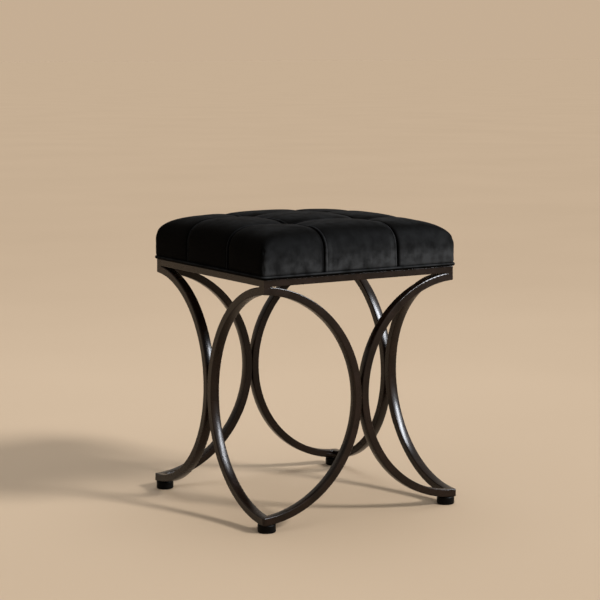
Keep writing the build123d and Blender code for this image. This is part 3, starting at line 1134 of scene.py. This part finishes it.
@dataclass
class FoamCore:
    """Foam block on the board, inside the cover."""

    low: float = APRON_TOP + BOARD_TOP
    high: float = APRON_TOP + FOAM_TOP
    corner_radius: float = 12.0
    tie_hole: float = 3.2
    drill_length: float = 100.0

    def pierce(self, foam: Piece) -> None:
        """Cut the four holes for the tuft ties.

        Args:
            foam: Block to pierce.
        """
        for x, y in itertools.product((-SEAM, SEAM), repeat=2):
            drill = add_primitive(
                bpy.ops.mesh.primitive_cylinder_add, "drill",
                vertices=16, radius=self.tie_hole / 2 * MM, depth=self.drill_length * MM,
                location=(x * MM, y * MM, (self.low + self.high) / 2 * MM),
            )
            apply_modifier(foam, "BOOLEAN", operation="DIFFERENCE", object=drill, solver="EXACT")
            bpy.data.objects.remove(drill)

    def build(self, cut_foam: Material) -> Piece:
        """Make the core.

        Args:
            cut_foam: Finish of the foam.

        Returns:
            The finished piece.
        """
        foam = add_primitive(
            bpy.ops.mesh.primitive_cube_add, "foam_core",
            (2 * FOAM_HALF * MM, 2 * FOAM_HALF * MM, (self.high - self.low) * MM),
            size=1.0, location=(0, 0, (self.low + self.high) / 2 * MM),
        )
        with editing(foam):
            bpy.ops.object.mode_set(mode="OBJECT")
            for edge in foam.data.edges:
                start, end = (foam.data.vertices[k].co for k in edge.vertices)
                edge.select = abs(start.z - end.z) > MM
            bpy.ops.object.mode_set(mode="EDIT")
            bpy.ops.mesh.bevel(offset=self.corner_radius * MM, segments=6, affect="EDGES")
        self.pierce(foam)
        smooth(foam)
        dress(foam, cut_foam)
        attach(foam, BODY)
        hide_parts("seat_foam")
        return foam


@dataclass
class DustCover:
    """Black cloth stapled under the board, hanging a little slack between its staples.

    Lengths are in millimetres, and waves in radians per metre along X and Y.
    """

    half: float = 167.0
    corner_cut: float = 46.0
    top: float = 411.42
    thickness: float = 0.5
    sag: float = 1.6
    cells: int = 48
    edge_power: int = 4
    edge_steepness: float = 9.0
    wave_share: float = 0.25
    waves: Pair = (38.0, 31.0)
    wave_shift: float = 0.7

    def hang(self, cover: Piece) -> None:
        """Let the cloth sag inside its edges, in shallow waves.

        Args:
            cover: Flat cloth, without thickness.
        """
        points = points_of(cover)
        x, y = points[:, 0], points[:, 1]
        u, v = np.abs(x) / (self.half * MM), np.abs(y) / (self.half * MM)
        inside = np.clip(1 - u ** self.edge_power, 0, 1) * np.clip(1 - v ** self.edge_power, 0, 1)
        swing = np.sin(x * self.waves[0]) * np.sin(y * self.waves[1] + self.wave_shift)
        wave = 1 - self.wave_share + self.wave_share * swing
        start = np.clip((1 - np.maximum(u, v)) * self.edge_steepness, 0, 1)
        points[:, 2] -= self.sag * MM * inside * wave * start
        set_points(cover, points)

    def build(self, cloth: Material) -> Piece:
        """Make the dust cover.

        Args:
            cloth: Finish of the cloth.

        Returns:
            The finished piece.
        """
        cover = add_primitive(
            bpy.ops.mesh.primitive_grid_add, "dust_cover_cloth", x_subdivisions=self.cells,
            y_subdivisions=self.cells, size=2 * self.half * MM, location=(0, 0, self.top * MM),
        )
        edge = (self.half - self.corner_cut / 2) * MM
        with editing(cover, "VERT"):
            for x, y in itertools.product((-1, 1), repeat=2):
                bpy.ops.mesh.select_all(action="SELECT")
                bpy.ops.mesh.bisect(plane_co=(x * edge, y * edge, 0), plane_no=(x, y, 0), clear_outer=True)
        self.hang(cover)
        apply_modifier(cover, "SOLIDIFY", thickness=self.thickness * MM, offset=-1.0)
        smooth(cover, 30.0)
        dress(cover, cloth)
        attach(cover, BODY)
        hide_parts("dust_cover")
        return cover


# Frame


@dataclass
class CornerWelds:
    """Welds between the apron and the arcs' ends, ground flush with the faces at each corner.

    Lengths are in millimetres. Each draw along a side has its share of the reach, and how much
    of the height is left at its end.
    """

    corner: float = 185.0
    height: float = 399.5
    reach: float = 15.0
    depth: float = 2.0
    rise: float = 2.7
    proud: float = 0.04
    draws: tuple[Pair, ...] = ((0.8, 1.0), (0.2, 0.25))
    corners: tuple[str, ...] = ("front_left", "front_right", "back_right", "back_left")

    def build_first(self) -> Piece:
        """Make the weld of the first corner: a block on the corner, drawn out along both sides.

        Returns:
            The finished weld.
        """
        middle = -(self.corner + self.proud - self.depth / 2) * MM
        weld = add_primitive(
            bpy.ops.mesh.primitive_cube_add, "corner_weld_" + self.corners[0],
            (self.depth * MM, self.depth * MM, self.rise * MM),
            size=1.0, location=(middle, middle, self.height * MM),
        )
        centre = (0, 0, self.height * MM)
        for axis in (0, 1):
            with editing(weld, "FACE"):
                bpy.ops.object.mode_set(mode="OBJECT")
                for face in weld.data.polygons:
                    face.select = face.normal[axis] > 0.9
                bpy.ops.object.mode_set(mode="EDIT")
                for share, thin in self.draws:
                    step = [0.0, 0.0, 0.0]
                    step[axis] = (self.reach - self.depth) * share * MM
                    bpy.ops.mesh.extrude_region_move(TRANSFORM_OT_translate={"value": step})
                    bpy.ops.transform.resize(value=(1.0, 1.0, thin), center_override=centre)
        smooth(weld, 30.0)
        return weld

    def copy_on(self, weld: Piece, corner: str) -> Piece:
        """Copy a weld to the next corner, a quarter turn on.

        Args:
            weld: Weld of the corner before.
            corner: Name of the next corner.

        Returns:
            The copy, with its own mesh.
        """
        pick(weld)
        bpy.ops.object.duplicate()
        copy = bpy.context.active_object
        copy.name = copy.data.name = "corner_weld_" + corner
        with editing(copy, "FACE"):
            bpy.ops.mesh.select_all(action="SELECT")
            bpy.ops.transform.rotate(value=-math.pi / 2, orient_axis="Z", center_override=(0, 0, 0))
        return copy

    def build(self, coat: Material) -> list[Piece]:
        """Make all four welds.

        Args:
            coat: Finish of the frame.

        Returns:
            The finished pieces.
        """
        welds = [self.build_first()]
        for corner in self.corners[1:]:
            welds.append(self.copy_on(welds[-1], corner))
        for weld in welds:
            dress(weld, coat)
            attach(weld, BODY)
        return welds


# Carried-over nodes


@dataclass(frozen=True)
class CarriedNodes:
    """CAD nodes whose shapes stay, each dressed in the finish of its slot."""

    finishes: Mapping[str, Material]

    def dress_all(self, replaced: Sequence[str]) -> None:
        """Give every shown node its material.

        Args:
            replaced: Nodes that a new piece stands for.
        """
        for part in frame["record"]["subparts"]:
            node, slot = part["node"], part["material_slot"]
            if node not in replaced:
                dress(frame["nodes"][node], self.finishes[slot])
                LOG.info("node %s in %s", node, slot)


# Studio


class Lamp(Enum):
    """Kinds of studio light."""

    SUN = "SUN"
    PANEL = "AREA"


@dataclass(frozen=True)
class SoftLight:
    """One soft light that looks at the stool from some direction.

    A sun has an angle in degrees for its size, and a panel a width in metres.
    """

    name: str
    kind: Lamp
    place: Triple
    size: float
    power: float
    colour: str
    gloss: bool
    tall: float = 1.0
    target: Triple = (0.0, 0.0, 0.3)

    def build(self) -> Piece:
        """Hang the light.

        Returns:
            The light.
        """
        lamp = bpy.data.lights.new(self.name, self.kind.value)
        lamp.energy = self.power
        lamp.color = linear(self.colour)[:3]
        if self.kind is Lamp.SUN:
            lamp.angle = math.radians(self.size)
        else:
            lamp.shape = "RECTANGLE"
            lamp.size = self.size
            lamp.size_y = self.size * self.tall
        light = bpy.data.objects.new(self.name, lamp)
        bpy.context.scene.collection.objects.link(light)
        light.location = self.place
        aim = Vector(self.target) - Vector(self.place)
        light.rotation_euler = aim.to_track_quat("-Z", "Y").to_euler()
        light.visible_glossy = self.gloss
        light.visible_diffuse = not self.gloss
        return light


@dataclass
class Studio:
    """Pale floor, soft lights and the camera at the photograph's angle.

    Places are in metres. The camera's focal length is a share of its sensor's width.
    """

    floor_size: float = 400.0
    camera_place: Triple = (-1.63121, -2.64911, 0.76519)
    right: Triple = (0.85195, -0.52362, -0.00287)
    up: Triple = (0.07246, 0.11245, 0.99101)
    forward: Triple = (0.51859, 0.84450, -0.13374)
    sensor_mm: float = 36.0
    focal_share: float = 3.0307
    bright_side: Triple = (0.80, -0.42, 0.42)
    bright_range: Pair = (-0.8, 0.8)
    brightness: Pair = (0.35, 0.75)
    sky_colour: str = "#e9dfd2"
    wall_colour: str = "#ccb499"
    wall_strength: float = 0.93
    wall_fade: Pair = (0.08, 0.3)
    lights: tuple[SoftLight, ...] = (
        SoftLight("key", Lamp.SUN, (1.7, -2.66, 2.6), 11.0, 2.3, "#fff3e4", False),
        SoftLight("streak", Lamp.PANEL, (1.2, -1.4, 1.6), 0.6, 200.0, "#f4f8ff", True, 2.6),
        SoftLight("top", Lamp.PANEL, (0.4, 0.8, 2.6), 1.6, 12.0, "#ffffff", False),
    )

    def lay_floor(self, finish: Material) -> Piece:
        """Lay the floor.

        Args:
            finish: Material of the floor.

        Returns:
            The floor.
        """
        floor = add_primitive(
            bpy.ops.mesh.primitive_plane_add, "floor", size=self.floor_size, location=(0, 0, 0)
        )
        with editing(floor):
            bpy.ops.mesh.select_all(action="SELECT")
            bpy.ops.mesh.subdivide(number_cuts=4)
        dress(floor, finish)
        return floor

    def set_camera(self) -> Piece:
        """Place the camera.

        Returns:
            The camera.
        """
        lens = bpy.data.cameras.new("camera")
        lens.sensor_width = self.sensor_mm
        lens.lens = self.sensor_mm * self.focal_share
        camera = bpy.data.objects.new("camera", lens)
        bpy.context.scene.collection.objects.link(camera)
        turn = Matrix((self.right, self.up, [-part for part in self.forward])).transposed()
        camera.matrix_world = Matrix.Translation(self.camera_place) @ turn.to_4x4()
        bpy.context.scene.camera = camera
        return camera

    def surround(self) -> None:
        """Set the surroundings: a soft sky, and a far wall of the floor's tone along the horizon."""
        world = bpy.data.worlds.new("surroundings")
        bpy.context.scene.world = world
        world.use_nodes = True
        tree = world.node_tree
        tree.nodes.clear()
        place = add_node(tree, "TexCoord")
        # the sky is brighter towards the key light, and dim behind the shaded sides
        towards = {"operation": "DOT_PRODUCT", 1: self.bright_side}
        side = add_node(tree, "VectorMath", towards, {0: (place, "Generated")})
        brightness = ramp(self.bright_range, self.brightness)
        sky = add_node(tree, "MapRange", brightness, {"Value": (side, "Value")})
        height = add_node(tree, "SeparateXYZ", links={0: (place, "Generated")})
        wall = add_node(tree, "MapRange", ramp(self.wall_fade, (1.0, 0.0)), {"Value": (height, "Z")})
        strengths = {"data_type": "FLOAT", 3: self.wall_strength}
        strength = add_node(tree, "Mix", strengths, {0: (wall, 0), 2: (sky, 0)})
        tones = {"data_type": "RGBA", 6: linear(self.sky_colour), 7: linear(self.wall_colour)}
        colour = add_node(tree, "Mix", tones, {0: (wall, 0)})
        glow = add_node(tree, "Background", links={"Color": (colour, 2), "Strength": (strength, 0)})
        add_node(tree, "OutputWorld", links={"Surface": (glow, "Background")})

    def light(self) -> None:
        """Set the surroundings, and hang the lights in order."""
        self.surround()
        for lamp in self.lights:
            lamp.build()
            LOG.info("light %s", lamp.name)
        bpy.context.scene.view_settings.view_transform = "Standard"


def main() -> None:
    """Build the pieces in order, dress the carried-over nodes and set up the studio."""
    logging.basicConfig(level=logging.INFO, stream=sys.stdout, format="%(message)s")
    velvet = BlackVelvet().build()
    coat = BakedBronzeCoat().build()
    studio = Studio()
    studio.set_camera()
    pieces = [
        SeatCushion().build(velvet),
        SeatWelt().build(velvet),
        FoamCore().build(CutFoam().build()),
        DustCover().build(NonWovenCloth().build()),
        *CornerWelds().build(coat),
    ]
    for piece in pieces:
        LOG.info("piece %s with %d faces", piece.name, len(piece.data.polygons))
    finishes = {
        Slot.FRAME.value: coat,
        Slot.ZINC.value: ZincPlatedSteel().build(),
        Slot.GLIDE.value: MouldedNylon().build(),
        Slot.PLYWOOD.value: BirchPlywood().build(),
        Slot.TWINE.value: WaxedTwine().build(),
    }
    CarriedNodes(finishes).dress_all(("seat_cover", "seat_welt", "seat_foam", "dust_cover"))
    studio.lay_floor(PaleFloor().build())
    studio.light()


if __name__ == "__main__":
    main()
